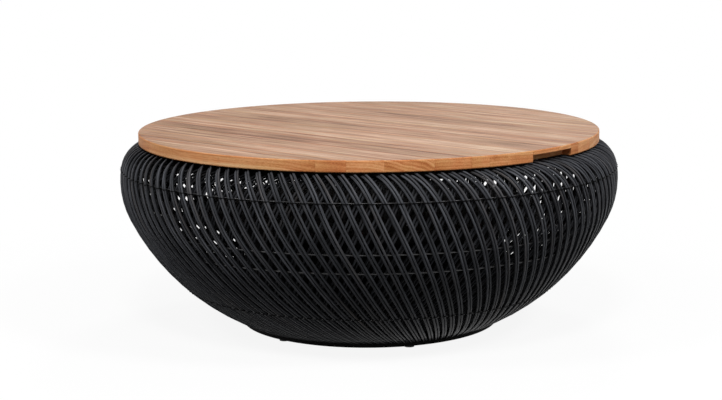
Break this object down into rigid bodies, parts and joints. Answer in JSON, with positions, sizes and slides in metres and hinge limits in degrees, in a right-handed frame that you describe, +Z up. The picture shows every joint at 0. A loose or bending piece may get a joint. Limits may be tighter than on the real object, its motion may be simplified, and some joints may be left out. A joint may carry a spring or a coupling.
{
  "type": "wicker coffee table",
  "caption": "Low round garden table: a bowl-shaped basket of crossing double canes with a lift-off lid of teak staves and a finger notch in its edge.",
  "frame": {"origin": "on the floor, under the middle of the bowl", "axes": "+Z up; the finger notch faces -Y and the staves run along Y"},
  "size_m": [0.9, 0.8998, 0.3555],
  "materials": {
    "teak": "oiled, weathered",
    "batten": "sawn",
    "cane": "satin black stain",
    "tie_wire": "satin",
    "frame": "black stain",
    "screw": "plain",
    "glide": "matte"
  },
  "bodies": {
    "basket": {"outer_canes_01": "cane", "outer_canes_02": "cane", "outer_canes_03": "cane", "outer_canes_04": "cane", "outer_canes_05": "cane", "outer_canes_06": "cane", "outer_canes_07": "cane", "outer_canes_08": "cane", "outer_canes_09": "cane", "outer_canes_10": "cane", "outer_canes_11": "cane", "outer_canes_12": "cane", "outer_canes_13": "cane", "inner_canes_01": "cane", "inner_canes_02": "cane", "inner_canes_03": "cane", "inner_canes_04": "cane", "inner_canes_05": "cane", "inner_canes_06": "cane", "inner_canes_07": "cane", "inner_canes_08": "cane", "inner_canes_09": "cane", "inner_canes_10": "cane", "inner_canes_11": "cane", "inner_canes_12": "cane", "inner_canes_13": "cane", "tie_ring_1": "tie_wire", "tie_ring_2": "tie_wire", "tie_ring_3": "tie_wire", "tie_ring_4": "tie_wire", "rim_hoop": "frame", "base_ring": "frame", "base_board": "frame", "drum": "frame", "floor_panel": "frame", "floor_screws": "screw", "glides": "glide"},
    "lid": {"stave_01": "teak", "stave_02": "teak", "stave_03": "teak", "stave_04": "teak", "stave_05": "teak", "stave_06": "teak", "stave_07": "teak", "stave_08": "teak", "stave_09": "teak", "stave_10": "teak", "stave_11": "teak", "stave_12": "teak", "stave_13": "teak", "stave_14": "teak", "stave_15": "teak", "stave_16": "teak", "stave_17": "teak", "stave_18": "teak", "notch_lip": "teak", "batten_front": "batten", "batten_back": "batten", "lid_screws": "screw"}
  },
  "joints": [
    {"name": "lid_lift", "type": "slide", "parent": "basket", "child": "lid", "axis": [0, 0, 1], "range_m": [0, 0.25]}
  ]
}
